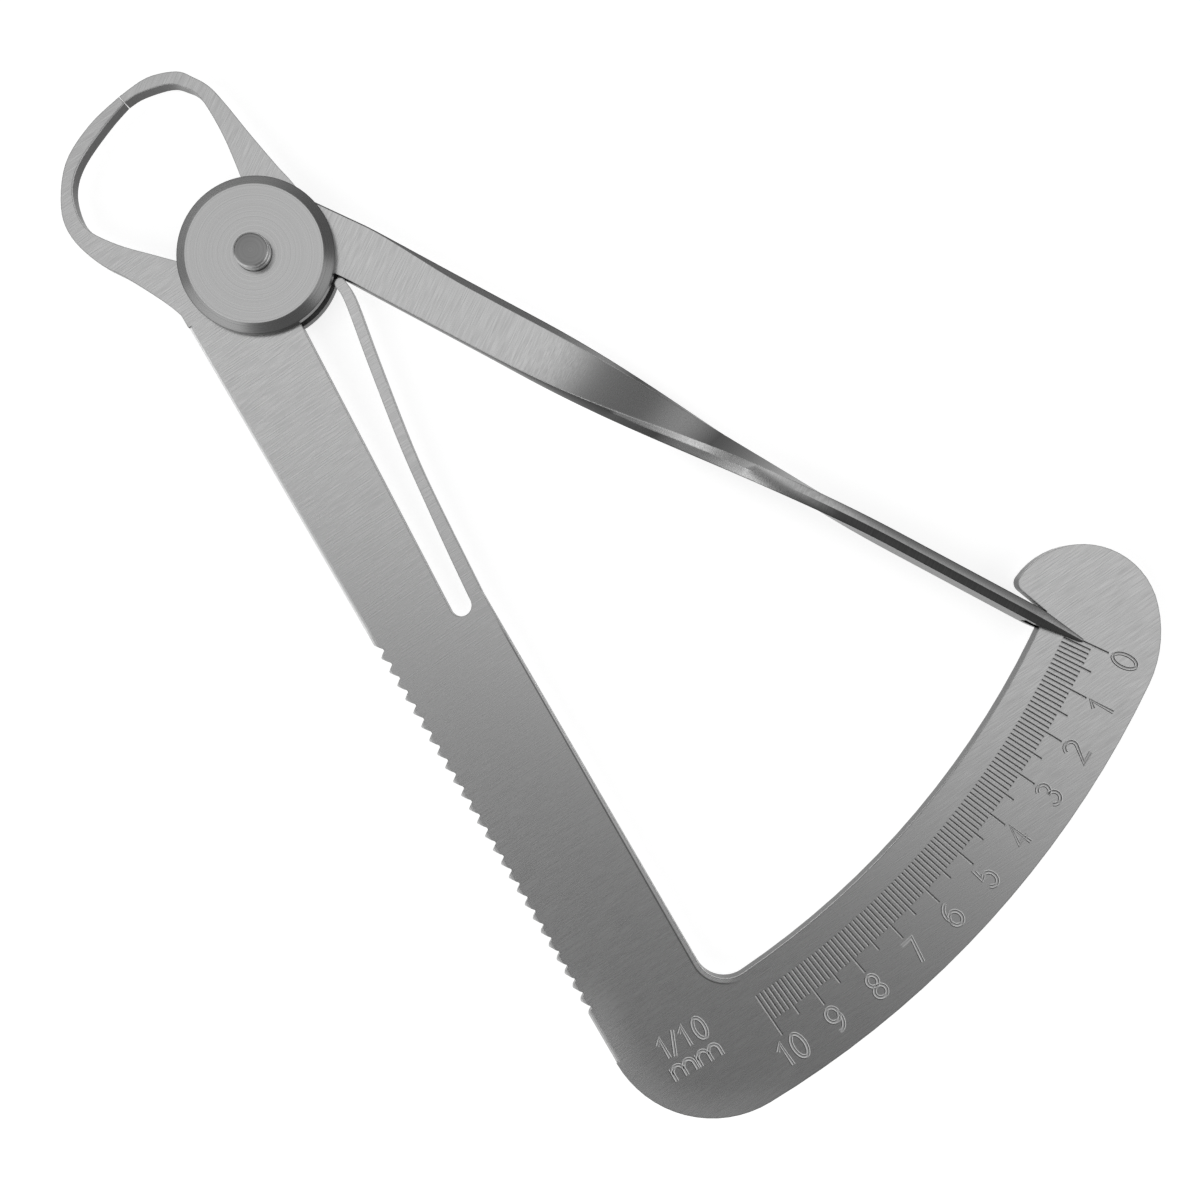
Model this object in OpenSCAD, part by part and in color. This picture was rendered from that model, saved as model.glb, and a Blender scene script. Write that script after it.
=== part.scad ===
// Spring caliper with an arc scale: two sheet-steel arms that cross at a riveted pivot.
// Frame: the pivot axis is Z, the jaws point along +Y, the scale arm runs along -Y, the scale lies
// towards +X, and z = 0 is the underside of the rivet's head. All sizes are millimetres.

/* [Sheet] */
// Thickness of the steel sheet that both arms are cut from
sheet_t = 1.5; // [1.2:0.1:1.8]

/* [Pivot] */
// Diameter of the round discs in front of and behind the hubs
disc_d = 14.2; // [13.4:0.1:15]
// Thickness of each disc
disc_t = 1.3; // [1.1:0.1:1.8]
// Width of the bevel round the front disc's face
disc_bevel_w = 0.9; // [0.5:0.1:1.4]
// Height of that bevel
disc_bevel_h = 0.6; // [0.3:0.05:0.8]
// Diameter of the pivot pin
pin_d = 3.2; // [2.4:0.1:4]
// How far the pin stands proud of the front disc
pin_stand = 1.3; // [0.8:0.1:2]

/* [Jaws] */
// Distance from the pivot to the middle of the jaw tips
jaw_reach = 18.7; // [17.5:0.1:20]
// Width of the jaws where they curve towards each other
jaw_w = 1.05; // [0.8:0.05:1.4]
// Width of the jaws at their tips
jaw_tip_w = 0.7; // [0.5:0.05:1]
// Bearing of the closed tips from +Y, towards +X
jaw_bearing = -10.7; // [-14:0.1:-7]
// Gap between the closed tips
jaw_gap = 0.06; // [0.04:0.01:0.2]

/* [Scale] */
// Largest reading of the scale
scale_reading = 10; // [8:1:11]
// Bearing of the largest reading from -Y, towards +X
full_bearing = 3.8; // [3.4:0.1:6]
// Radius of the arc's inner edge
scale_r = 77.9; // [72:0.1:84]
// Width of the arc
scale_w = 11.1; // [9.5:0.1:13]
// Distance from the arc's inner edge to the graduations
tick_inset = 2.3; // [1.6:0.1:3]
// Length of the tenth-millimetre graduations
tick_short = 2.7; // [2:0.1:3]
// Length of the half-millimetre graduations
tick_half = 3.6; // [3.1:0.1:4]
// Length of the millimetre graduations
tick_long = 4.3; // [4.1:0.1:5]
// Width of a graduation
tick_w = 0.22; // [0.12:0.02:0.26]
// Depth of a graduation
tick_depth = 0.1; // [0.05:0.01:0.2]

/* [Head] */
// Radius of the round head at the end of the arc
head_r = 6.9; // [6.2:0.1:7.4]
// Radius that blends the arc's outer edge into the head
head_blend_r = 11; // [9:0.5:14]
// Radius of the nose that stops the pointer
nose_r = 0.9; // [0.5:0.1:1.3]
// Slant of the nose's stop face against the pointer
nose_slant = 15; // [8:1:22]

/* [Arm] */
// Distance of the arm's thumb edge from the pivot axis
arm_left = 8.6; // [7.8:0.1:9.4]
// Distance of the arm's inner edge from the pivot axis
arm_right = 2.3; // [1.8:0.1:2.6]
// Radius of the arm's outer corner
corner_r = 10; // [9.5:0.1:14]
// Radius of the notch between the arm and the arc
notch_r = 2.8; // [1.5:0.1:5]
// Width of the chamfer along the thumb edge
thumb_chamfer = 0.4; // [0.2:0.05:0.6]
// Number of notches in the thumb edge
grip_notches = 27; // [10:1:28]
// Distance between the notches
grip_pitch = 1.43; // [1.2:0.01:1.5]
// Depth of a notch
grip_depth = 0.6; // [0.4:0.05:0.8]
// Distance of the first notch from the pivot
grip_start = 35.5; // [30:0.1:38]

/* [Spring leaf] */
// Distance from the pivot to the centre of the slot's round end
slot_reach = 36.3; // [32:0.1:40]
// Width of the slot at its round end
slot_w = 2; // [1.6:0.1:2.4]
// Distance of the slot's straight edge from the pivot axis, beside the disc
slot_edge = 0.35; // [0:0.05:0.8]
// Width of the leaf at its tip
leaf_tip_w = 1; // [0.8:0.05:1.2]
// Gap between the leaf's tip and the pointer leg
leaf_gap = 0.08; // [0.05:0.01:0.15]

/* [Pointer leg] */
// Width of the leg's flat strip
leg_w = 5.1; // [4.6:0.1:5.6]
// Offset of the strip's middle from the line between pivot and pointer tip, beside the disc
leg_offset = 4.1; // [3.9:0.1:4.5]
// Distance from the pivot at which the twist starts
twist_start = 20.5; // [18:0.5:24]
// Distance from the pivot at which the strip stands on edge
twist_end = 63; // [58:0.5:68]
// Height of the strip where it reaches the scale
leg_end_w = 3.6; // [3.3:0.1:4]
// Widest part of the bevel ground along the outer edge
leg_bevel = 0.5; // [0.3:0.1:1]
// Height of the fork's tines at the pointer tip
tine_tip_t = 0.28; // [0.2:0.02:0.4]
// Width of the pointer tip
tip_w = 0.35; // [0.25:0.05:0.5]
// How far the pointer tip reaches over the graduations
tip_overlap = 1.6; // [1:0.1:2.4]
// Gap between the fork and the sheet, and between the leg and the nose
fork_gap = 0.12; // [0.08:0.01:0.2]

/* [Fits] */
// Radial clearance of the pointer arm on the pin
running_gap = 0.04; // [0.02:0.01:0.08]
// Clearance of the fixed pieces on the pin
seat_gap = 0.01; // [0.01:0.005:0.02]
// Gap between the lapped hubs
lap_gap = 0.04; // [0.02:0.01:0.08]
// Gap round each lapped hub
hub_gap = 0.15; // [0.1:0.01:0.3]

/* [Hidden] */
$fn = 96;

steel = "#a9a9a9";
dark_steel = "#8a8a8a";

// Radii and levels of the pivot
disc_r = disc_d / 2;
pin_r = pin_d / 2;
hub_margin = 0.5;
hub_r = disc_r - hub_margin;
sheet_z = disc_t;
sheet_top = sheet_z + sheet_t;
sheet_mid = sheet_z + sheet_t / 2;
pin_top = sheet_top + disc_t + pin_stand;
cut = 1;
overlap_angle = 8;

// Angles and radii of the scale
divisions = 10;
swing = 2 * asin(scale_reading / (2 * jaw_reach));
zero_bearing = full_bearing + swing;
scale_outer_r = scale_r + scale_w;
tick_r = scale_r + tick_inset;

// Point at a radius and a bearing from -Y (scale side) or from +Y (jaw side), both towards +X
function scale_pt(r, bearing) = [r * sin(bearing), -r * cos(bearing)];
function jaw_pt(r, bearing) = [r * sin(bearing), r * cos(bearing)];

// Smooth step from 0 to 1, and a smooth curve through a list of points
function clamp(u) = min(max(u, 0), 1);
function smooth(u) = pow(clamp(u), 2) * (3 - 2 * clamp(u));
function spline_at(a, b, c, d, u) =
    b + u * (c - a) / 2 + pow(u, 2) * (2 * a - 5 * b + 4 * c - d) / 2
    + pow(u, 3) * (3 * b - a - 3 * c + d) / 2;
function spline(p, steps = 5) = let (last = len(p) - 1) [
    for (i = [0 : last - 1], k = [0 : steps - 1])
        spline_at(p[max(i - 1, 0)], p[i], p[i + 1], p[min(i + 2, last)], k / steps),
    p[last]
];
function reversed(p) = [for (i = [len(p) - 1 : -1 : 0]) p[i]];

// Point beside the straight line from the pivot to the zero mark: distance along it and outwards from it
leg_dir = scale_pt(1, zero_bearing);
leg_out = [cos(zero_bearing), sin(zero_bearing)];
function leg_pt(along, out) = along * leg_dir + out * leg_out;

// The pointer leg's strip: its length, middle line, width, thickness and twist along the way
leg_shoulder = 0.9;
leg_root = 1;
fork_lead = 1.4;
taper_lead = 0.4;
leg_start = disc_r + leg_shoulder;
leg_end = tick_r + tip_overlap;
fork_start = scale_r - fork_lead;
taper_start = scale_r - taper_lead;
twist_length = twist_end - twist_start;
narrow_start = twist_start + 0.12 * twist_length;
narrow_length = 0.6 * twist_length;
bevel_least = 0.12;
bevel_grow = twist_start / 2;
bevel_fade_start = twist_start + twist_length / 2;
bevel_fade = twist_length / 2;
ridge_slope = 0.35;
function leg_middle(s) = leg_offset * (1 - clamp((s - leg_start) / (leg_end - leg_start)));
function leg_height(s) = s < fork_start
    ? leg_w + (leg_end_w - leg_w) * smooth((s - narrow_start) / narrow_length)
    : leg_end_w + (sheet_t + 2 * fork_gap + 2 * tine_tip_t - leg_end_w)
        * (s - fork_start) / (leg_end - fork_start);
function leg_thickness(s) = sheet_t
    + (tip_w - sheet_t) * clamp((s - taper_start) / (leg_end - taper_start));
function leg_twist(s) = 90 * smooth((s - twist_start) / twist_length);
function leg_bevel_at(s) = bevel_least
    + leg_bevel * smooth((s - leg_start) / bevel_grow) * (1 - smooth((s - bevel_fade_start) / bevel_fade));
function leg_ridge_at(s) = bevel_least
    + (leg_thickness(s) / 2 - bevel_least) * smooth((s - leg_start) / (twist_end - leg_start));

// Sheet blank with an outline, at the arms' level
module sheet() {
    translate([0, 0, sheet_z]) linear_extrude(sheet_t) children();
}

// Circular sector between two bearings from -Y
module sector(r, from, to) {
    reach = 2 * r;
    intersection() {
        circle(r);
        polygon([[0, 0], scale_pt(reach, from), scale_pt(reach, (from + to) / 2), scale_pt(reach, to)]);
    }
}

// Jaw between an outer and an inner edge, each a list of bearing and radius
module jaw_shape(outer, inner) {
    outer_pts = spline([for (p = outer) jaw_pt(p[1], p[0])]);
    inner_pts = spline([for (p = inner) jaw_pt(p[1], p[0])]);
    polygon(concat(outer_pts, [[0, 0]], reversed(inner_pts)));
}

// Radius at a share of the way from the disc's rim to the jaw tips
function jaw_r(share) = disc_r + share * (jaw_reach - disc_r);

module fixed_jaw_shape() {
    tip = jaw_bearing - jaw_gap / jaw_reach * 90 / PI;
    jaw_shape(
        [
            [tip, jaw_reach + jaw_tip_w / 2], [tip - 11, jaw_reach + jaw_w / 2],
            [tip - 23, jaw_reach + jaw_w / 2], [tip - 35, jaw_r(0.96)], [tip - 43, jaw_r(0.84)],
            [tip - 51, jaw_r(0.63)], [tip - 59, jaw_r(0.40)], [-90, arm_left + 0.4], [-110, arm_left]
        ],
        [
            [tip, jaw_reach - jaw_tip_w / 2], [tip - 8, jaw_reach - jaw_w / 2],
            [tip - 20, jaw_reach - jaw_w / 2], [tip - 28, jaw_r(0.93)], [tip - 35, jaw_r(0.84)],
            [tip - 40, jaw_r(0.72)], [tip - 44, jaw_r(0.48)], [tip - 48, jaw_r(0.19)], [tip - 54, hub_r]
        ]
    );
}

module scale_arm_shape() {
    corner_bearing = asin((corner_r - arm_left) / (scale_outer_r - corner_r));
    corner = scale_pt(scale_outer_r - corner_r, corner_bearing);
    notch_bearing = asin((arm_right + notch_r) / (scale_r - notch_r));
    notch = scale_pt(scale_r - notch_r, notch_bearing);
    difference() {
        union() {
            circle(hub_r);
            fixed_jaw_shape();
            polygon([
                [-arm_left, 0], [-arm_left, corner.y], [arm_right, corner.y], [arm_right, -slot_reach],
                [-slot_w / 2, -slot_reach], [slot_edge, -hub_r], [slot_edge, 0]
            ]);
            intersection() {
                translate(corner) circle(corner_r);
                polygon([
                    corner + [0, cut], corner + [-2 * corner_r, cut], corner + [-2 * corner_r, -2 * corner_r],
                    corner + scale_pt(2 * corner_r, corner_bearing + overlap_angle), corner
                ]);
            }
            difference() {
                polygon([
                    notch, [arm_right - cut, notch.y], [arm_right - cut, -scale_r - cut],
                    scale_pt(scale_r + cut, notch_bearing)
                ]);
                translate(notch) circle(notch_r);
            }
            arc_shape(corner_bearing);
        }
        translate([0, -slot_reach]) circle(slot_w / 2);
    }
}

// Arc with the round head at its zero end
head_inset = 3.3;
head_lead = 1.2;
head_reach = scale_r + head_inset;
head_bearing = zero_bearing + head_lead;
head = scale_pt(head_reach, head_bearing);
blend_reach = scale_outer_r - head_blend_r;
blend_bearing = head_bearing - acos(
    (pow(blend_reach, 2) + pow(head_reach, 2) - pow(head_blend_r - head_r, 2))
    / (2 * blend_reach * head_reach)
);
blend = scale_pt(blend_reach, blend_bearing);

// The stop face runs from the arc's inner edge along the leg and slants away from it to the nose
stop_root = leg_pt(scale_r, sheet_t / 2 + leg_middle(scale_r) + fork_gap);
stop_dir = -cos(nose_slant) * leg_dir + sin(nose_slant) * leg_out;
stop_normal = cos(nose_slant) * leg_out + sin(nose_slant) * leg_dir;
head_along = (head - stop_root) * stop_dir;
head_above = (head - stop_root) * stop_normal;
nose_along = head_along + sqrt(pow(head_r - nose_r, 2) - pow(head_above - nose_r, 2));
nose = stop_root + nose_along * stop_dir + nose_r * stop_normal;
nose_to_head = (nose - head) / norm(nose - head);

module arc_shape(from) {
    difference() {
        union() {
            difference() {
                sector(scale_outer_r, from, blend_bearing);
                circle(scale_r);
            }
            intersection() {
                translate(blend) circle(head_blend_r);
                polygon([
                    blend, blend + scale_pt(2 * head_blend_r, blend_bearing),
                    head + 2 * head_blend_r * (leg_out + leg_dir), head
                ]);
            }
            translate(head) circle(head_r);
            difference() {
                polygon([
                    scale_pt(scale_r - cut, blend_bearing), blend + scale_pt(head_blend_r / 2, blend_bearing),
                    head, stop_root + stop_normal
                ]);
                circle(scale_r);
            }
        }
        intersection() {
            circle(scale_r);
            polygon([
                stop_root - head_r * stop_dir, stop_root + 3 * head_r * stop_dir,
                stop_root + 3 * head_r * (stop_dir - stop_normal), stop_root - head_r * (stop_dir + 3 * stop_normal)
            ]);
        }
        difference() {
            polygon([
                nose, nose - nose_r * stop_normal, nose - 2 * nose_r * stop_normal + 2 * nose_r * stop_dir,
                nose + 3 * nose_r * nose_to_head
            ]);
            translate(nose) circle(nose_r);
        }
    }
}

// Half of the hub is cut away so that the other arm's hub laps it
module lap_recess(z) {
    translate([0, 0, z]) cylinder(r = hub_r + hub_gap, h = sheet_t / 2 + lap_gap / 2 + cut);
}

module pin_hole(gap) {
    translate([0, 0, sheet_z - cut]) cylinder(r = pin_r + gap, h = sheet_t + 2 * cut);
}

// Bearing of a reading: the tips open along a chord of the swing
function reading_bearing(reading) = zero_bearing - 2 * asin(reading / (2 * jaw_reach));

// V-shaped grooves
module graduations() {
    half = tick_w / 2;
    over = 1.5;
    rise = (over - 1) * tick_depth;
    for (i = [0 : scale_reading * divisions]) {
        length = i % divisions == 0 ? tick_long : i % (divisions / 2) == 0 ? tick_half : tick_short;
        rotate(reading_bearing(i / divisions))
            translate([0, -tick_r, sheet_top])
                rotate([90, 0, 0])
                    linear_extrude(length)
                        polygon([[0, -tick_depth], [over * half, rise], [-over * half, rise]]);
    }
}

// Saw-like notches: a long flank that falls away from the pivot, a narrow floor, a short steep flank
module grip() {
    fall = 0.5 * grip_pitch;
    floor_w = 0.12 * grip_pitch;
    rise = 0.28 * grip_pitch;
    for (i = [0 : grip_notches - 1])
        translate([-arm_left, -grip_start - i * grip_pitch, sheet_z - cut])
            linear_extrude(sheet_t + 2 * cut)
                polygon([
                    [-grip_depth, fall], [grip_depth, -fall],
                    [grip_depth, -fall - floor_w], [-grip_depth, -fall - floor_w - 2 * rise]
                ]);
}

// The thumb edge is broken from the root of the jaw to the start of the arm's round corner
module thumb_edge() {
    side = thumb_chamfer * sqrt(2);
    start = disc_r / 3;
    length = scale_outer_r - corner_r - start;
    translate([-arm_left, -start - length / 2, sheet_top])
        rotate([0, 45, 0])
            cube([side, length, side], center = true);
}

module scale_arm() color(steel) difference() {
    sheet() scale_arm_shape();
    lap_recess(sheet_mid - lap_gap / 2);
    pin_hole(seat_gap);
    graduations();
    grip();
    thumb_edge();
}

// The leaf's middle line bows to the slot's side half way and hooks towards the disc at its tip
leaf_root_w = arm_right - slot_w / 2;
leaf_disc_gap = 0.15;
leaf_tip = leg_pt(disc_r + leaf_tip_w / 2 + leaf_disc_gap, leg_offset - leg_w / 2 - leaf_gap - leaf_tip_w / 2);
leaf_root = [arm_right - leaf_root_w / 2, -slot_reach];
leaf_bow = [[0, 0], [0.25, -0.3], [0.48, -0.42], [0.75, -0.1], [0.94, 0.22], [1, 0]];
leaf_line = spline([
    for (b = leaf_bow) leaf_root + b[0] * (leaf_tip - leaf_root) + [b[1], 0]
]);

// Half width of the leaf and the direction across it at a point of its middle line
leaf_count = len(leaf_line) - 1;
function leaf_half_w(i) = (leaf_root_w + (leaf_tip_w - leaf_root_w) * smooth(3 * i / leaf_count)) / 2;
function leaf_across(i) = let (d = leaf_line[min(i + 1, leaf_count)] - leaf_line[max(i - 1, 0)])
    i == 0 ? [1, 0] : [d.y, -d.x] / norm(d);
function leaf_edge(side) = [for (i = [0 : leaf_count]) leaf_line[i] + side * leaf_half_w(i) * leaf_across(i)];

module spring_leaf() color(steel) sheet() union() {
    polygon(concat(leaf_edge(1), reversed(leaf_edge(-1))));
    translate(leaf_tip) circle(leaf_tip_w / 2, $fn = 32);
}

// Moving jaw, hub and a web that laps the root of the leg's strip
module pointer_blank_shape() {
    tip = jaw_bearing + jaw_gap / jaw_reach * 90 / PI;
    circle(hub_r);
    jaw_shape(
        [
            [tip, jaw_reach + jaw_tip_w / 2], [tip + 9, jaw_reach + jaw_w / 4], [tip + 17, jaw_r(0.96)],
            [tip + 21, jaw_r(0.87)], [tip + 25, jaw_r(0.76)], [tip + 29, jaw_r(0.60)], [tip + 37, jaw_r(0.35)],
            [tip + 53, jaw_r(0.11)], [tip + 67, jaw_r(0.02)], [90, hub_r]
        ],
        [
            [tip, jaw_reach - jaw_tip_w / 2], [tip + 5, jaw_reach - jaw_w / 2], [tip + 13, jaw_r(0.90)],
            [tip + 17, jaw_r(0.83)], [tip + 21, jaw_r(0.70)], [tip + 25, jaw_r(0.36)], [tip + 30, hub_r]
        ]
    );
    polygon([
        leg_pt(0, 0), leg_pt(0, disc_r), leg_pt(leg_start, leg_offset + leg_w / 4),
        leg_pt(leg_start, leg_offset - leg_w / 4)
    ]);
}

// Ring of corners of the leg's strip, turned by the twist about the strip's middle line
function leg_ring(s) = let (
    w = leg_height(s) / 2,
    t = leg_thickness(s) / 2,
    b = leg_bevel_at(s),
    r = leg_ridge_at(s),
    a = leg_twist(s)
) [
    for (q = [[-w, -t], [w, -t], [w, t - b / 2], [w - b, t], [ridge_slope * r - w, t], [-w, t - r]])
        let (xy = leg_pt(s, leg_middle(s) + q.x * cos(a) + q.y * sin(a)))
            [xy.x, xy.y, sheet_mid + q.y * cos(a) - q.x * sin(a)]
];

module leg_strip() {
    rings = 86;
    corners = 6;
    step = (leg_end - leg_root) / (rings - 1);
    points = [for (i = [0 : rings - 1]) each leg_ring(leg_root + i * step)];
    function at(i, k) = i * corners + k % corners;
    faces = concat(
        [[for (k = [0 : corners - 1]) k]],
        [for (i = [0 : rings - 2], k = [0 : corners - 1]) [at(i, k), at(i + 1, k), at(i, k + 1)]],
        [for (i = [0 : rings - 2], k = [0 : corners - 1]) [at(i, k + 1), at(i + 1, k), at(i + 1, k + 1)]],
        [[for (k = [corners - 1 : -1 : 0]) at(rings - 1, k)]]
    );
    polyhedron(points, faces);
}

module fork_slit() {
    slit = sheet_t + 2 * fork_gap;
    rotate(zero_bearing) translate([-leg_w, -leg_end - cut, sheet_mid - slit / 2])
        cube([2 * leg_w, leg_end + cut - fork_start, slit]);
}

module pointer_arm() color(steel) difference() {
    union() {
        sheet() pointer_blank_shape();
        leg_strip();
    }
    lap_recess(sheet_z - cut);
    pin_hole(running_gap);
    fork_slit();
}

module front_disc() color(dark_steel) translate([0, 0, sheet_top]) rotate_extrude() polygon([
    [pin_r + seat_gap, 0], [disc_r, 0], [disc_r, disc_t - disc_bevel_h],
    [disc_r - disc_bevel_w, disc_t], [pin_r + seat_gap, disc_t]
]);

// Turned rivet: disc-shaped head behind, pin with a groove and a rounded edge in front
pin_edge_r = 0.25;
pin_groove = 0.12;
rivet_rim = 0.3;
groove_z = pin_top - pin_stand / 2;
module pivot_rivet() color(dark_steel) rotate_extrude() polygon(concat(
    [[0, 0], [disc_r - rivet_rim, 0], [disc_r, rivet_rim], [disc_r, disc_t], [pin_r, disc_t]],
    [[pin_r, groove_z - pin_groove], [pin_r - pin_groove, groove_z], [pin_r, groove_z + pin_groove]],
    [for (a = [0 : 15 : 90]) [pin_r - pin_edge_r * (1 - cos(a)), pin_top - pin_edge_r * (1 - sin(a))]],
    [[0, pin_top]]
));

scale_arm();
spring_leaf();
pointer_arm();
front_disc();
pivot_rivet();
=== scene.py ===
"""Spring caliper in brushed stainless steel, seen from straight above on a white floor."""

import math

import bmesh
import bpy
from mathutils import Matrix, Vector


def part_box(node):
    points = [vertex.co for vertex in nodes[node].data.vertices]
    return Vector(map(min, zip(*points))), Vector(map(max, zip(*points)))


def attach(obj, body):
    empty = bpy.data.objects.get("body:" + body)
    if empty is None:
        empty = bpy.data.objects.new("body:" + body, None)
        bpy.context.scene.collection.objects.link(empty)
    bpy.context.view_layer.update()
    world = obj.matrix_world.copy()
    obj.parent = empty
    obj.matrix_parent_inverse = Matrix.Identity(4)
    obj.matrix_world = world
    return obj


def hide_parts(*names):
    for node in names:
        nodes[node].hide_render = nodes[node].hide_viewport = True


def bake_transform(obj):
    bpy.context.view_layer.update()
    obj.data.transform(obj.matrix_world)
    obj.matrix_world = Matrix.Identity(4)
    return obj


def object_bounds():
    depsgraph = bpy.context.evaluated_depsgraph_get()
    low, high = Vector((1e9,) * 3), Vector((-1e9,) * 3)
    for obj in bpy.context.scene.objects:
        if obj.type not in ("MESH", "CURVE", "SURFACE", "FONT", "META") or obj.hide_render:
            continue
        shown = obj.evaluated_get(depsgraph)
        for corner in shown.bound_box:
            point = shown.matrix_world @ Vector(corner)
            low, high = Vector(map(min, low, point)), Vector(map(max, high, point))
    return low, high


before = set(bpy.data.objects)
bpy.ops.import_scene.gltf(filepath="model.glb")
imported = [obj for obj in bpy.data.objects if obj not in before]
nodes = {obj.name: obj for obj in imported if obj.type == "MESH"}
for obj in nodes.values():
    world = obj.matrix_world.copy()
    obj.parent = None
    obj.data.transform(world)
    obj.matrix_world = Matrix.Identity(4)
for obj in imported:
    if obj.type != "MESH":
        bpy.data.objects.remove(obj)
cad_low, cad_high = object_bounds()

MM = 0.001
IMAGE_ROLL = 30.2

scene = bpy.context.scene

# Scale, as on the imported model
JAW_REACH = 18.7 * MM
FULL_BEARING = math.radians(3.8)
SCALE_READING = 10
ARM_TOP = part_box("scale_arm")[1].z
DISC_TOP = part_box("front_disc")[1].z
LEAF_ROOT_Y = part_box("spring_leaf")[0].y
LEAF_CUT = -16 * MM


def reading_bearing(reading):
    """Bearing of a reading in millimetres from -Y, towards +X."""
    swing = 2 * math.asin(SCALE_READING * MM / (2 * JAW_REACH))
    return FULL_BEARING + swing - 2 * math.asin(reading * MM / (2 * JAW_REACH))


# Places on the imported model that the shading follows
LEAF_X = 0.9 * MM
THUMB_X = -8.0 * MM
THUMB_START = -2.3 * MM
GRIP_START = -35 * MM
INNER_START = -38 * MM
NOTCH_X = 5.1 * MM
NOTCH_Y = -74.9 * MM
NOTCH_R = 2.8 * MM
CORNER_X = 1.4 * MM
CORNER_Y = -79 * MM
CORNER_R = 10 * MM
DEEPEST_CUT = 0.2 * MM
MIDDLE_BEARING = (reading_bearing(0) + FULL_BEARING) / 2

# How far a face looks up, from 0 on a wall to 1 on the plate
LEVEL_FACE = 0.9
SLOPING_FACE = 0.3

# Edges darkened by painted shade, and shares of the grey level for painted highlights and painted shade
EDGE_R = 0.2 * MM
# Width and share of the painted highlight in the arm's round corner
CORNER_HIGHLIGHT_W = 3.5 * MM
CORNER_HIGHLIGHT_BRIGHT = 1.35
THUMB_BRIGHT = 1.2
GRIP_BRIGHT = 0.75
PIN_BRIGHT = 2.2
GROOVE_BRIGHT = 1.6
MARK_BRIGHT = 1.6
CUT_DARK = 0.1

# Painted shade on walls: share of the grey level there, how far up a face looks where it ends, where all is
# kept
SHEET_WALLS = (0.1, 0.6, 0.97)
TWIST_WALLS = (0.07, 0.6, 0.97)
ROUND_WALLS = (0.2, 0.72, 0.98)
MARK_WALLS = (0.8, 0.3, 0.9)


# Nodes of a material
def new_material(name):
    """A node material, its node tree and its shader."""
    material = bpy.data.materials.new(name)
    material.use_nodes = True
    tree = material.node_tree
    return material, tree, tree.nodes["Principled BSDF"]


def feed(tree, socket, value):
    """Sets an input to a value, or links it to the socket that is given instead."""
    if isinstance(value, bpy.types.NodeSocket):
        tree.links.new(value, socket)
    else:
        socket.default_value = value


def add_node(tree, kind, **inputs):
    """A node whose inputs take the given values or sockets."""
    node = tree.nodes.new(kind)
    for name, value in inputs.items():
        feed(tree, node.inputs[name.replace("_", " ")], value)
    return node


def math_node(tree, operation, a, b=0.0):
    """The result of a sum or comparison of two values."""
    node = tree.nodes.new("ShaderNodeMath")
    node.operation = operation
    feed(tree, node.inputs[0], a)
    feed(tree, node.inputs[1], b)
    return node.outputs["Value"]


def minus(tree, a, b):
    """The first value less the second."""
    return math_node(tree, "SUBTRACT", a, b)


def product(tree, first, *others):
    """All the values multiplied together."""
    for value in others:
        first = math_node(tree, "MULTIPLY", first, value)
    return first


def more_than(tree, value, limit):
    """1 where the value is above the limit, otherwise 0."""
    return math_node(tree, "GREATER_THAN", value, limit)


def less_than(tree, value, limit):
    """1 where the value is below the limit, otherwise 0."""
    return math_node(tree, "LESS_THAN", value, limit)


def remap(tree, value, low, high, start=0.0, end=1.0):
    """The value, taken from start..end to low..high."""
    node = add_node(
        tree, "ShaderNodeMapRange",
        Value=value, From_Min=start, From_Max=end, To_Min=low, To_Max=high,
    )
    return node.outputs["Result"]


def smooth_rise(tree, value, start, end):
    """0 before start, 1 after end, and a smooth way between them."""
    node = add_node(tree, "ShaderNodeMapRange", Value=value, From_Min=start, From_Max=end)
    node.interpolation_type = "SMOOTHSTEP"
    return node.outputs["Result"]


def mix(tree, factor, a, b):
    """A value between a and b."""
    return add_node(tree, "ShaderNodeMix", Factor=factor, A=a, B=b).outputs["Result"]


def grey(tree, value):
    """A grey colour from a value."""
    return add_node(tree, "ShaderNodeCombineColor", Red=value, Green=value, Blue=value).outputs["Color"]


def vector_node(tree, operation, *vectors):
    """The number that comes of an operation on one or two vectors."""
    node = tree.nodes.new("ShaderNodeVectorMath")
    node.operation = operation
    for socket, vector in zip(node.inputs, vectors):
        feed(tree, socket, vector)
    return node.outputs["Value"]


def place_on_piece(tree):
    """The place of a point on its piece, as a vector."""
    return add_node(tree, "ShaderNodeTexCoord").outputs["Object"]


def spot_on_piece(tree):
    """The place of a point on its piece, as sockets named X, Y and Z."""
    return add_node(tree, "ShaderNodeSeparateXYZ", Vector=place_on_piece(tree)).outputs


def distance_from_axis(tree):
    """Distance of a point of the piece from the pivot's axis."""
    flat = add_node(tree, "ShaderNodeMapping", Vector=place_on_piece(tree), Scale=(1, 1, 0))
    return vector_node(tree, "LENGTH", flat.outputs["Vector"])


def reach_round(tree, spot, x, y):
    """Distance from a round corner's centre, or from the line that runs up from that centre."""
    across = minus(tree, spot["X"], x)
    below = math_node(tree, "MINIMUM", minus(tree, spot["Y"], y), 0.0)
    reach = add_node(tree, "ShaderNodeCombineXYZ", X=across, Y=below)
    return vector_node(tree, "LENGTH", reach.outputs["Vector"])


def facing(tree, direction):
    """How far a face looks along a direction."""
    normal = add_node(tree, "ShaderNodeNewGeometry").outputs["True Normal"]
    return vector_node(tree, "DOT_PRODUCT", normal, direction)


def facing_up(tree):
    """How far a face looks up."""
    return facing(tree, (0, 0, 1))


def facing_bearing(tree, bearing):
    """How far a face looks along a bearing from +X."""
    return facing(tree, (math.cos(bearing), math.sin(bearing), 0))


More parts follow.
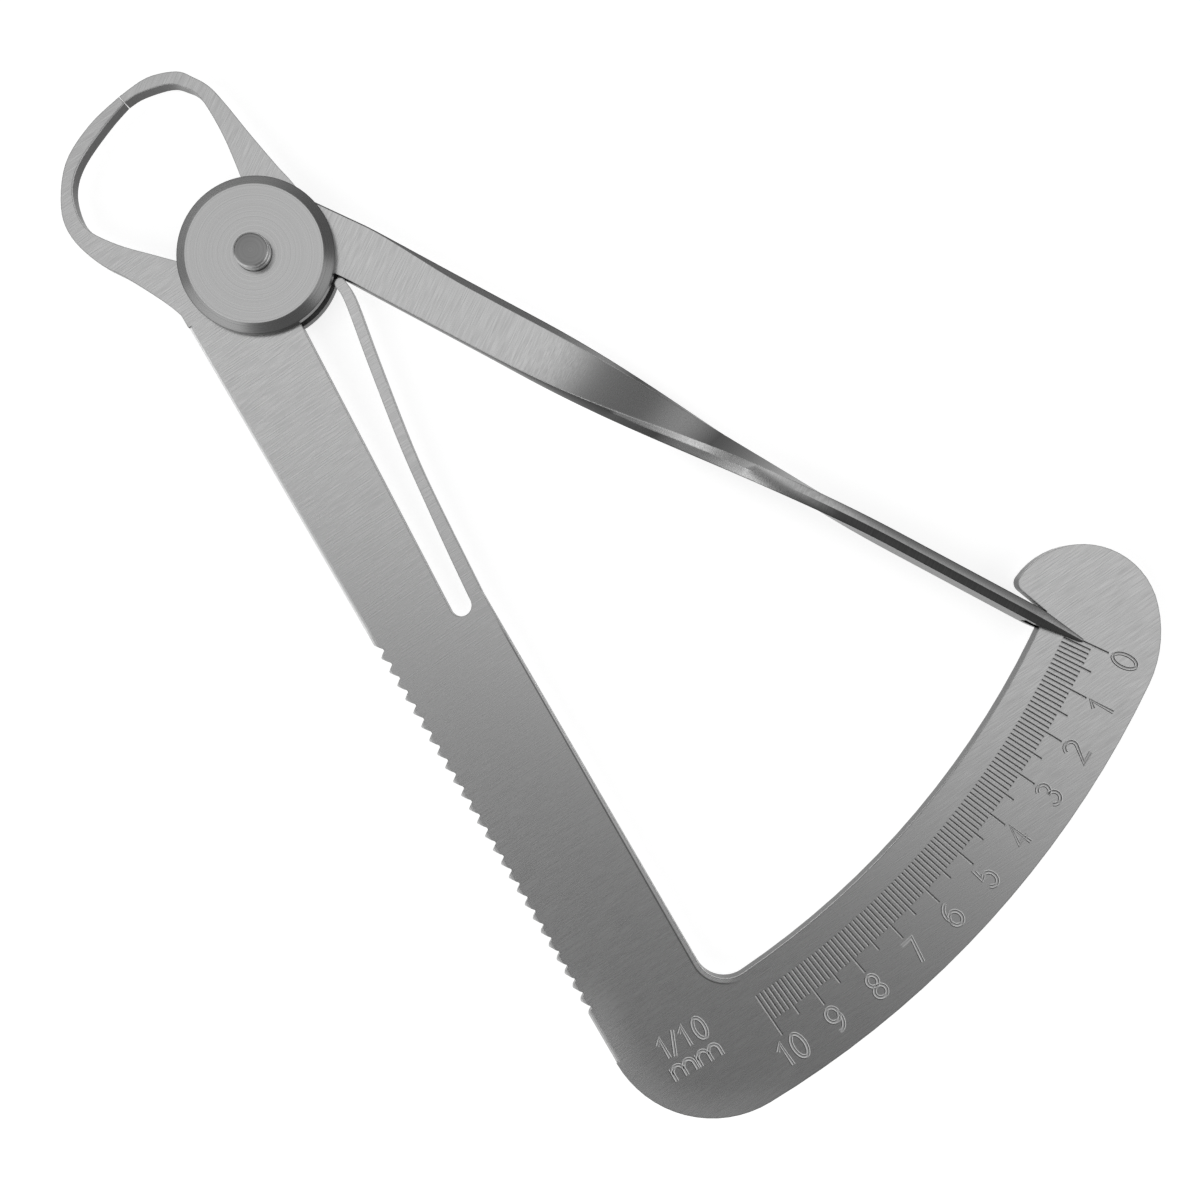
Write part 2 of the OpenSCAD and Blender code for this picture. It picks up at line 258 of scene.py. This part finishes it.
# Lines on the steel
def streaks(tree, angle, along, across):
    """Noise drawn out into lines that run at an angle from +X: features per millimetre along and across."""
    turn = add_node(tree, "ShaderNodeMapping", Vector=place_on_piece(tree), Rotation=(0, 0, -angle))
    size = (along / MM, across / MM, across / MM)
    scaled = add_node(tree, "ShaderNodeMapping", Vector=turn.outputs["Vector"], Scale=size)
    noise = add_node(
        tree, "ShaderNodeTexNoise",
        Vector=scaled.outputs["Vector"], Scale=1.0, Detail=4.0, Roughness=0.6,
    )
    return noise.outputs["Fac"]


def rings(tree, across):
    """Noise drawn out into rings about the pivot, with so many features per millimetre."""
    radius = remap(tree, distance_from_axis(tree), 0, across / MM)
    along = add_node(tree, "ShaderNodeCombineXYZ", X=radius).outputs["Vector"]
    return add_node(tree, "ShaderNodeTexNoise", Vector=along, Scale=1.0, Detail=5.0).outputs["Fac"]


def across_arm(tree):
    """The grain of the arm and of its leaf."""
    return streaks(tree, math.radians(4), along=0.4, across=10.0)


def across_leg(tree):
    """The grain of the pointer leg."""
    return streaks(tree, reading_bearing(0), along=0.4, across=10.0)


def turned(tree):
    """The rings of a turned face."""
    return rings(tree, across=9.0)


# Painted light and shade: shares of the grey level
def wall_shade(tree, share, steep, flat):
    """Painted shade: all of the grey level where a face looks up, less on walls and along edges."""
    rounded = add_node(tree, "ShaderNodeBevel", Radius=EDGE_R).outputs["Normal"]
    upward = add_node(tree, "ShaderNodeSeparateXYZ", Vector=rounded).outputs["Z"]
    return remap(tree, math_node(tree, "ABSOLUTE", upward), share, 1.0, steep, flat)


def cut_shade(tree, bright):
    """Painted light and shade on the flanks of a cut line: one flank is painted bright, the other dark."""
    blend = 0.15
    return remap(tree, facing_bearing(tree, MIDDLE_BEARING), CUT_DARK, bright, -blend, blend)


def hide_seams(tree, wall):
    """Share of the grey level with no painted dark edge at the leaf's root and where its two ends meet."""
    spot = spot_on_piece(tree)
    level = more_than(tree, facing_up(tree), LEVEL_FACE)
    on_leaf = product(tree, level, more_than(tree, spot["X"], LEAF_X))
    for seam in (LEAF_ROOT_Y, LEAF_CUT):
        away = math_node(tree, "ABSOLUTE", minus(tree, spot["Y"], seam))
        near = product(tree, on_leaf, less_than(tree, away, EDGE_R))
        wall = math_node(tree, "MAXIMUM", wall, near)
    return wall


def corner_polish(tree, spot):
    """Painted highlight in the arm's round corner: a share of the grey level that grows towards its rim."""
    rim = smooth_rise(tree, reach_round(tree, spot, CORNER_X, CORNER_Y), CORNER_R - CORNER_HIGHLIGHT_W, CORNER_R)
    start = smooth_rise(tree, spot["Y"], CORNER_Y + CORNER_R, CORNER_Y + 0.3 * CORNER_R)
    end = smooth_rise(tree, spot["X"], CORNER_X + 0.6 * CORNER_R, CORNER_X - 0.5 * CORNER_R)
    return remap(tree, product(tree, rim, start, end), 1.0, CORNER_HIGHLIGHT_BRIGHT)


def inner_edge(tree, spot):
    """Painted light and shade along the arm's inner edge: a painted light band that widens, behind a painted
    dark line.
    """
    first_width = 0.12 * MM
    last_width = 0.45 * MM
    line_core = 0.04 * MM
    line_rim = 0.1 * MM
    line_dark = 0.35
    band_bright = 1.5
    fade = 4 * MM
    widest = 1 * MM
    away = minus(tree, reach_round(tree, spot, NOTCH_X, NOTCH_Y), NOTCH_R)
    width = remap(tree, spot["Y"], first_width, last_width, INNER_START, NOTCH_Y)
    past_line = minus(tree, away, width)
    line = smooth_rise(tree, math_node(tree, "ABSOLUTE", past_line), line_core, line_rim)
    band = remap(tree, less_than(tree, past_line, 0.0), 1.0, band_bright)
    share = product(tree, band, remap(tree, line, line_dark, 1.0))
    begun = smooth_rise(tree, spot["Y"], INNER_START, INNER_START - fade)
    ended = smooth_rise(tree, spot["X"], NOTCH_X, NOTCH_X - 0.8 * NOTCH_R)
    return mix(tree, product(tree, begun, less_than(tree, away, widest), ended), 1.0, share)


def thumb_edge(tree, spot, upward):
    """1 on the arm's broken thumb edge and on the plate beside it, otherwise 0."""
    beside = less_than(tree, spot["X"], THUMB_X)
    below = less_than(tree, spot["Y"], THUMB_START)
    return product(tree, beside, below, more_than(tree, upward, SLOPING_FACE))


# Painted light and shade on the pieces: each gives the share of the grey level and the share of mirror
def leaf_shade(tree, wall):
    """The two ends of the leaf, with no painted dark edge at their seams."""
    return hide_seams(tree, wall), 1.0


def arm_shade(tree, wall):
    """The arm: graduations as cut lines and an inner edge, both with painted light and shade, and painted
    highlights on its thumb edge and round corner.
    """
    least_cut = 0.003 * MM
    grip_fade = 1 * MM
    spot = spot_on_piece(tree)
    depth = minus(tree, ARM_TOP, spot["Z"])
    in_cut = product(tree, more_than(tree, depth, least_cut), less_than(tree, depth, DEEPEST_CUT))
    share = mix(tree, in_cut, hide_seams(tree, wall), cut_shade(tree, GROOVE_BRIGHT))
    upward = facing_up(tree)
    # Painted light on the thumb edge's chamfer, brighter before the grip than along it
    edge = remap(tree, spot["Y"], THUMB_BRIGHT, GRIP_BRIGHT, GRIP_START + grip_fade, GRIP_START - grip_fade)
    # Painted highlight in the round corner, and a painted light band and dark line along the inner edge
    painted_rims = product(tree, corner_polish(tree, spot), inner_edge(tree, spot))
    rim = mix(tree, more_than(tree, upward, LEVEL_FACE), edge, painted_rims)
    share = mix(tree, thumb_edge(tree, spot, upward), product(tree, share, painted_rims), rim)
    return share, remap(tree, in_cut, 1.0, 0.0)


def leg_shade(tree, wall):
    """The pointer leg: a painted highlight on its inner edge before the twist and painted shade there after
    it, and painted shade on its face towards the tip.
    """
    face_end = 0.75
    edge_start = 1.4
    edge_end = 0.1
    turn = 0.15
    blend = 0.12
    face_span = (50 * MM, 60 * MM)
    edge_span = (46 * MM, 58 * MM)
    twist_span = (30 * MM, 58 * MM)
    zero = reading_bearing(0)
    leg_line = (math.sin(zero), -math.cos(zero), 0)
    along = vector_node(tree, "DOT_PRODUCT", place_on_piece(tree), leg_line)
    face = remap(tree, smooth_rise(tree, along, *face_span), 1.0, face_end)
    edge = remap(tree, smooth_rise(tree, along, *edge_span), edge_start, edge_end)
    limit = remap(tree, smooth_rise(tree, along, *twist_span), -turn, turn)
    outward = smooth_rise(tree, minus(tree, facing_bearing(tree, zero), limit), -blend, blend)
    return product(tree, wall, mix(tree, outward, edge, face)), 1.0


def pin_shade(tree, wall):
    """The rivet, whose pin has a painted highlight on its side and rounded edge and painted shade at its
    foot.
    """
    foot_dark = 0.2
    foot_start = 0.1 * MM
    foot_end = 0.25 * MM
    rise = minus(tree, spot_on_piece(tree)["Z"], DISC_TOP)
    bright = remap(tree, wall, PIN_BRIGHT, 1.0, ROUND_WALLS[0], 1.0)
    foot = remap(tree, smooth_rise(tree, rise, foot_start, foot_end), foot_dark, 1.0)
    return mix(tree, more_than(tree, rise, 0.0), wall, product(tree, bright, foot)), 1.0


def mark_shade(tree, wall):
    """The numerals and the unit mark, with painted light and shade on their flanks."""
    return product(tree, wall, cut_shade(tree, MARK_BRIGHT)), 0.0


# Materials
def steel(name, lines, walls, level, contrast, roughness, relief, shade=None):
    """Steel whose lines vary its grey level, its gloss and, a little, its surface.

    lines(tree) gives the lines, walls are the values that wall_shade takes for painted shade, and
    shade(tree, wall) turns that share of the grey level into the one that is used, with painted light and
    shade, and a share of mirror.
    """
    line_low = 0.3
    line_high = 0.7
    gloss_range = 0.05
    line_depth = 0.02 * MM
    material, tree, shader = new_material(name)
    fac = lines(tree)
    share = wall_shade(tree, *walls)
    mirror = 1.0
    if shade:
        share, mirror = shade(tree, share)
    tone = product(tree, share, remap(tree, fac, level - contrast, level + contrast, line_low, line_high))
    gloss = remap(tree, fac, roughness + gloss_range, roughness - gloss_range, line_low, line_high)
    bump = add_node(tree, "ShaderNodeBump", Strength=relief, Distance=line_depth, Height=fac)
    feed(tree, shader.inputs["Metallic"], mirror)
    feed(tree, shader.inputs["Base Color"], grey(tree, tone))
    feed(tree, shader.inputs["Roughness"], gloss)
    feed(tree, shader.inputs["Normal"], bump.outputs["Normal"])
    return material


BRUSHED = {"level": 0.62, "contrast": 0.06, "roughness": 0.28, "relief": 0.18}
TURNED_DISC = {"level": 0.58, "contrast": 0.04, "roughness": 0.28, "relief": 0.1}
TURNED_RIVET = {"level": 0.3, "contrast": 0.03, "roughness": 0.34, "relief": 0.08}
CUT_MARK = {"level": 0.62, "contrast": 0.04, "roughness": 0.4, "relief": 0.1}
ARM_STEEL = steel("brushed_arm", across_arm, SHEET_WALLS, **BRUSHED, shade=arm_shade)
LEAF_STEEL = steel("brushed_leaf", across_arm, SHEET_WALLS, **BRUSHED, shade=leaf_shade)
LEG_STEEL = steel("brushed_leg", across_leg, TWIST_WALLS, **BRUSHED, shade=leg_shade)
DISC_STEEL = steel("turned_disc", turned, ROUND_WALLS, **TURNED_DISC)
RIVET_STEEL = steel("turned_rivet", turned, ROUND_WALLS, **TURNED_RIVET, shade=pin_shade)
MARK_STEEL = steel("cut_mark", across_arm, MARK_WALLS, **CUT_MARK, shade=mark_shade)


def dress(obj, material):
    """The material on every slot of a piece, with a slot made for it where there is none."""
    if not obj.material_slots:
        obj.data.materials.append(material)
    for slot in obj.material_slots:
        slot.material = material


def smooth_shading():
    """Nodes of a modifier that shades every face smooth and takes no stored normals."""
    group = bpy.data.node_groups.new("smooth_shading", "GeometryNodeTree")
    for way in ("INPUT", "OUTPUT"):
        group.interface.new_socket("Mesh", in_out=way, socket_type="NodeSocketGeometry")
    stored = group.nodes.new("NodeGroupInput").outputs["Mesh"]
    smooth = add_node(group, "GeometryNodeSetMeshNormal", Mesh=stored, Remove_Custom=True)
    add_node(group, "NodeGroupOutput", Mesh=smooth.outputs["Mesh"])
    return group


SMOOTH_SHADING = smooth_shading()


def smooth_faces(obj):
    """Modifiers that smooth the facets of a curved face and keep sharp edges; the mesh stays as it is."""
    sharp_angle = 22
    merge_distance = 0.0005 * MM
    smooth = obj.modifiers.new("smooth", "NODES")
    smooth.node_group = SMOOTH_SHADING
    weld = obj.modifiers.new("weld", "WELD")
    weld.merge_threshold = merge_distance
    split = obj.modifiers.new("split", "EDGE_SPLIT")
    split.split_angle = math.radians(sharp_angle)


NODE_STEELS = {
    "scale_arm": ARM_STEEL,
    "pointer_arm": LEG_STEEL,
    "front_disc": DISC_STEEL,
    "pivot_rivet": RIVET_STEEL,
}
for node_name, node_steel in NODE_STEELS.items():
    dress(nodes[node_name], node_steel)
    smooth_faces(nodes[node_name])


# The spring leaf runs between its root in the arm and the moving leg, in two ends that meet at a cut
LEAF_SINK = 0.01 * MM


def bending_leaf(name, is_tip):
    """One end of the leaf, cut off where the two ends meet, closed there and sunk a little."""
    leaf = nodes["spring_leaf"].copy()
    leaf.data = nodes["spring_leaf"].data.copy()
    leaf.name = name
    leaf.parent = None
    leaf.hide_render = False
    leaf.hide_viewport = False
    scene.collection.objects.link(leaf)
    mesh = bmesh.new()
    mesh.from_mesh(leaf.data)
    cut = bmesh.ops.bisect_plane(
        mesh, geom=mesh.verts[:] + mesh.edges[:] + mesh.faces[:],
        plane_co=(0, LEAF_CUT, 0), plane_no=(0, 1, 0),
        clear_inner=is_tip, clear_outer=not is_tip,
    )
    cut_edges = [edge for edge in cut["geom_cut"] if isinstance(edge, bmesh.types.BMEdge)]
    bmesh.ops.contextual_create(mesh, geom=cut_edges)
    bmesh.ops.translate(mesh, verts=mesh.verts, vec=(0, 0, -LEAF_SINK))
    mesh.to_mesh(leaf.data)
    mesh.free()
    dress(leaf, LEAF_STEEL)
    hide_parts("spring_leaf")
    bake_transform(leaf)


bending_leaf("leaf_root", False)
bending_leaf("leaf_tip", True)


# Numerals: single strokes in a box one unit wide and two high
def arc(x, y, rx, ry, start, end, steps=10):
    """Points of an elliptical arc; angles in degrees from +X."""
    turns = [math.radians(start + (end - start) * i / steps) for i in range(steps + 1)]
    return [(x + rx * math.cos(a), y + ry * math.sin(a)) for a in turns]


STROKES = {
    "0": [arc(0, 0, 0.5, 1.0, 90, 450, 24)],
    "1": [[(-0.42, 0.5), (0.05, 1.0), (0.05, -1.0)]],
    "2": [arc(0, 0.5, 0.5, 0.5, 165, -30) + [(-0.5, -1.0), (0.5, -1.0)]],
    "3": [arc(0, 0.52, 0.46, 0.48, 150, -90) + arc(0, -0.48, 0.5, 0.52, 90, -155)],
    "4": [[(0.22, -1.0), (0.22, 1.0), (-0.5, -0.42), (0.5, -0.42)]],
    "5": [[(0.42, 1.0), (-0.36, 1.0), (-0.44, 0.1)] + arc(0, -0.36, 0.5, 0.64, 130, -150)],
    "6": [arc(0.3, 0.0, 0.8, 1.0, 90, 180, 8) + arc(0, -0.4, 0.5, 0.6, 180, -180, 20)],
    "7": [[(-0.5, 1.0), (0.5, 1.0), (-0.12, -1.0)]],
    "8": [arc(0, 0.52, 0.42, 0.48, -90, 270, 18), arc(0, -0.5, 0.5, 0.5, 90, 450, 18)],
    "9": [arc(0, 0.4, 0.5, 0.6, 0, 360, 20) + arc(-0.3, 0.0, 0.8, 1.0, 0, -90, 8)],
    "m": [
        [(-0.95, 0.55), (-0.95, -0.55)],
        arc(-0.475, 0.05, 0.475, 0.5, 180, 0) + [(0.0, -0.55)],
        arc(0.475, 0.05, 0.475, 0.5, 180, 0) + [(0.95, -0.55)],
    ],
    "/": [[(-0.45, -1.1), (0.45, 1.1)]],
}

# Section of a stroke, across it and up from the plate: a shallow trough between two raised edges
STROKE_SECTION = [
    (-0.21, -0.03), (-0.21, 0.003), (-0.13, 0.03), (-0.05, 0.004),
    (0.05, 0.004), (0.13, 0.03), (0.21, 0.003), (0.21, -0.03),
]
WIDEST_MITRE = 1.5
SHARPEST_TURN = 0.1


def stroke_across(points, i):
    """Direction across a stroke at one of its points, lengthened where the stroke turns a corner."""
    ways = []
    for a, b in ((i - 1, i), (i, i + 1)):
        if a >= 0 and b < len(points):
            way = points[b] - points[a]
            ways.append(Vector((-way.y, way.x, 0)).normalized())
    middle = sum(ways, Vector()).normalized()
    return middle * min(1 / max(middle.dot(ways[0]), SHARPEST_TURN), WIDEST_MITRE)


def add_stroke(points, verts, faces):
    """Adds one stroke, a closed strip with the section of a stroke, to lists of corners and faces."""
    first = len(verts)
    count = len(STROKE_SECTION)
    for i, point in enumerate(points):
        across = stroke_across(points, i)
        verts.extend(point + across * (x * MM) + Vector((0, 0, z * MM)) for x, z in STROKE_SECTION)
    for i in range(len(points) - 1):
        for k in range(count):
            near, far = first + i * count, first + (i + 1) * count
            faces.append((near + k, near + (k + 1) % count, far + (k + 1) % count, far + k))
    faces.append([first + k for k in reversed(range(count))])
    faces.append([first + (len(points) - 1) * count + k for k in range(count)])


def engrave(name, letters):
    """Letters as one piece on the plate: each is (letter, centre, up direction, size in millimetres)."""
    verts, faces = [], []
    for letter, centre, up, size in letters:
        right = Vector((up.y, -up.x, 0))
        for stroke in STROKES[letter]:
            points = [centre + (right * x + up * y) * (size * MM) for x, y in stroke]
            add_stroke(points, verts, faces)
    mesh = bpy.data.meshes.new(name)
    mesh.from_pydata(verts, [], faces)
    piece = bpy.data.objects.new(name, mesh)
    scene.collection.objects.link(piece)
    dress(piece, MARK_STEEL)
    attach(piece, "scale_body")


NUMERAL_R = 86.1 * MM
NUMERAL_SIZE = 1.15
NUMERAL_SPACING = 1.45 * MM


def numerals():
    """The readings, each on its own bearing with its foot outwards."""
    letters = []
    for reading in range(SCALE_READING + 1):
        bearing = reading_bearing(reading)
        inward = Vector((-math.sin(bearing), math.cos(bearing), 0))
        right = Vector((inward.y, -inward.x, 0))
        text = str(reading)
        for i, letter in enumerate(text):
            shift = (i - (len(text) - 1) / 2) * NUMERAL_SPACING
            centre = -inward * NUMERAL_R + right * shift
            letters.append((letter, centre + Vector((0, 0, ARM_TOP)), inward, NUMERAL_SIZE))
    return letters


# The unit mark: letters with their places across the arm and their sizes, in two lines
UNIT_X = -2.3
UNIT_UP = Vector((0, 1, 0))
UNIT_LINES = [
    (-80.0, [("1", -1.95, 1.0), ("/", -0.95, 1.0), ("1", 0.3, 1.0), ("0", 1.75, 1.0)]),
    (-82.5, [("m", -1.3, 1.15), ("m", 1.3, 1.15)]),
]


def unit_mark():
    """The letters of the unit mark."""
    return [
        (letter, Vector(((UNIT_X + x) * MM, y * MM, ARM_TOP)), UNIT_UP, size)
        for y, line in UNIT_LINES
        for letter, x, size in line
    ]


engrave("scale_numerals", numerals())
engrave("unit_mark", unit_mark())


# Stage: white floor that keeps the shadow, bright horizon, and a ceiling that darkens to one side
def white_floor():
    """A floor that is white to the camera and glows less near the object, where it keeps the shadow."""
    size = 2.0
    drop = 0.01 * MM
    near_glow = 0.78
    glow_start = 0.2
    glow_end = 0.6
    floor_colour = (0.55, 0.55, 0.55, 1)
    bpy.ops.mesh.primitive_plane_add(size=size, location=(0, 0, cad_low.z - drop))
    floor = bpy.context.object
    floor.name = "floor"
    material, tree, shader = new_material("white_floor")
    tree.nodes.remove(shader)
    rays = tree.nodes.new("ShaderNodeLightPath")
    far = smooth_rise(tree, distance_from_axis(tree), glow_start, glow_end)
    seen = product(tree, rays.outputs["Is Camera Ray"], remap(tree, far, near_glow, 1.0))
    mirrored = product(tree, rays.outputs["Is Glossy Ray"], near_glow)
    glow = add_node(tree, "ShaderNodeEmission", Strength=math_node(tree, "MAXIMUM", seen, mirrored))
    white = add_node(tree, "ShaderNodeBsdfDiffuse", Color=floor_colour)
    both = tree.nodes.new("ShaderNodeAddShader")
    tree.links.new(glow.outputs["Emission"], both.inputs[0])
    tree.links.new(white.outputs["BSDF"], both.inputs[1])
    tree.links.new(both.outputs["Shader"], tree.nodes["Material Output"].inputs["Surface"])
    dress(floor, material)


def image_direction(right, up):
    """Direction in the row frame of a direction in the picture."""
    roll = math.radians(IMAGE_ROLL)
    return Vector((
        right * math.cos(roll) + up * math.sin(roll),
        up * math.cos(roll) - right * math.sin(roll),
        0,
    )).normalized()


def studio_world():
    """White at the horizon, a darker band above it, and a ceiling that is bright on one side."""
    mirrored_horizon = 0.6
    band = 0.2
    dark_ceiling = 0.14
    bright_ceiling = 0.85
    horizon_ends = (0.12, 0.26)
    band_ends = (0.76, 0.92)
    dark_side_ends = (-0.15, 0.05)
    world = bpy.data.worlds.new("studio")
    scene.world = world
    world.use_nodes = True
    tree = world.node_tree
    way = add_node(tree, "ShaderNodeTexCoord").outputs["Generated"]
    bright = vector_node(tree, "DOT_PRODUCT", way, image_direction(0.35, 1.0))
    height = add_node(tree, "ShaderNodeSeparateXYZ", Vector=way).outputs["Z"]
    rays = tree.nodes.new("ShaderNodeLightPath")
    horizon = remap(tree, rays.outputs["Is Camera Ray"], mirrored_horizon, 1.0)
    wall = mix(tree, smooth_rise(tree, height, *horizon_ends), horizon, band)
    ceiling = mix(tree, smooth_rise(tree, bright, *dark_side_ends), dark_ceiling, bright_ceiling)
    level = mix(tree, smooth_rise(tree, height, *band_ends), wall, ceiling)
    tree.links.new(grey(tree, level), tree.nodes["Background"].inputs["Color"])


def soft_light(name, right, up, elevation, size, power):
    """A square lamp that faces the object from a direction in the picture, at an elevation in degrees."""
    distance = 0.4
    target = (cad_low + cad_high) / 2
    away = image_direction(right, up) * math.cos(math.radians(elevation))
    away.z = math.sin(math.radians(elevation))
    light = bpy.data.lights.new(name, "AREA")
    light.size = size
    light.energy = power
    lamp = bpy.data.objects.new(name, light)
    lamp.location = target + away * distance
    lamp.rotation_euler = away.to_track_quat("Z", "Y").to_euler()
    scene.collection.objects.link(lamp)


white_floor()
studio_world()
soft_light("key", right=1.0, up=-0.2, elevation=28, size=0.3, power=0.2)
soft_light("fill", right=-0.9, up=-0.5, elevation=40, size=0.4, power=0.5)


# Camera straight above the middle of the caliper
def straight_down_camera():
    """The camera, rolled so that the picture's directions are those of image_direction."""
    height = 125 * MM
    half_width = 54 * MM
    middle_x = 11.1 * MM
    middle_y = -42.2 * MM
    camera = bpy.data.cameras.new("camera")
    camera.sensor_fit = "HORIZONTAL"
    camera.angle = 2 * math.atan(half_width / height)
    camera.clip_start = 1 * MM
    obj = bpy.data.objects.new("camera", camera)
    obj.location = (middle_x, middle_y, ARM_TOP + height)
    obj.rotation_euler = (0, 0, -math.radians(IMAGE_ROLL))
    scene.collection.objects.link(obj)
    scene.camera = obj


straight_down_camera()
scene.view_settings.view_transform = "Standard"
